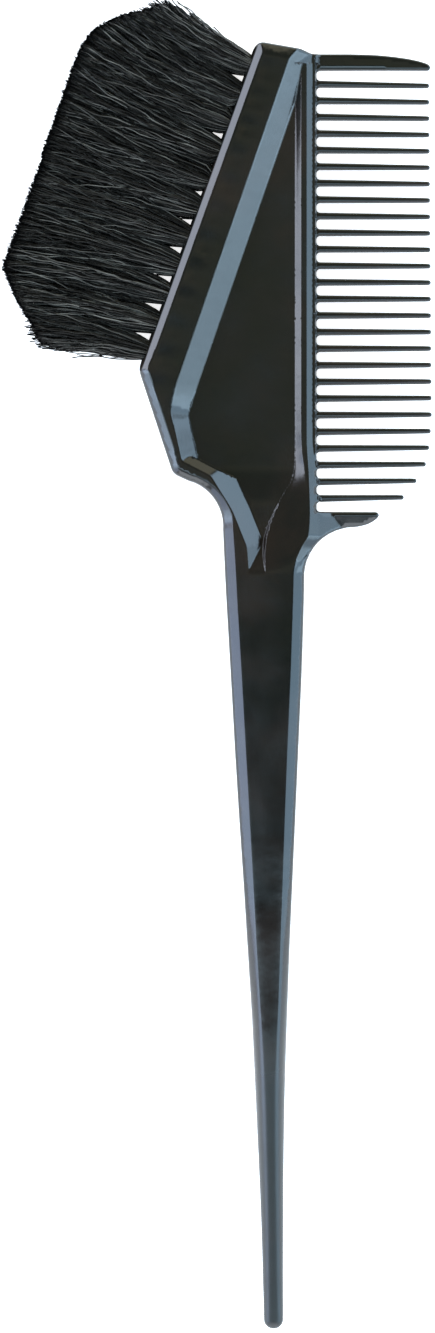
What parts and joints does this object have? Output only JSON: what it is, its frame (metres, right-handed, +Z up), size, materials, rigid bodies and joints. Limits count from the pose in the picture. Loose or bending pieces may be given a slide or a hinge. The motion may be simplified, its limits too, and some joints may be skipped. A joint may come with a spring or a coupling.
{
  "type": "tint brush",
  "caption": "Flat hair tint brush with a tapering tail handle, a slanted rail of bristle tufts on one side of the head and a fine comb on the other.",
  "frame": {"origin": "middle of the footprint, on the plane that the brush rests on when it lies flat", "axes": "+Y from the tail towards the head, +X towards the comb's teeth, +Z up through the thickness"},
  "size_m": [0.0716, 0.221, 0.0105],
  "materials": {
    "moulding": "polished black injection-moulded plastic with fine handling scratches",
    "bristle": "black crimped nylon filament, satin",
    "anchor": "bright flat wire, cut ends"
  },
  "bodies": {
    "root": {"handle_comb": "moulding", "tuft_front_01": "bristle", "tuft_front_02": "bristle", "tuft_front_03": "bristle", "tuft_front_04": "bristle", "tuft_front_05": "bristle", "tuft_front_06": "bristle", "tuft_front_07": "bristle", "tuft_front_08": "bristle", "tuft_front_09": "bristle", "tuft_front_10": "bristle", "tuft_front_11": "bristle", "tuft_back_01": "bristle", "tuft_back_02": "bristle", "tuft_back_03": "bristle", "tuft_back_04": "bristle", "tuft_back_05": "bristle", "tuft_back_06": "bristle", "tuft_back_07": "bristle", "tuft_back_08": "bristle", "tuft_back_09": "bristle", "tuft_back_10": "bristle", "tuft_back_11": "bristle", "anchor_front_01": "anchor", "anchor_front_02": "anchor", "anchor_front_03": "anchor", "anchor_front_04": "anchor", "anchor_front_05": "anchor", "anchor_front_06": "anchor", "anchor_front_07": "anchor", "anchor_front_08": "anchor", "anchor_front_09": "anchor", "anchor_front_10": "anchor", "anchor_front_11": "anchor", "anchor_back_01": "anchor", "anchor_back_02": "anchor", "anchor_back_03": "anchor", "anchor_back_04": "anchor", "anchor_back_05": "anchor", "anchor_back_06": "anchor", "anchor_back_07": "anchor", "anchor_back_08": "anchor", "anchor_back_09": "anchor", "anchor_back_10": "anchor", "anchor_back_11": "anchor"}
  },
  "joints": []
}
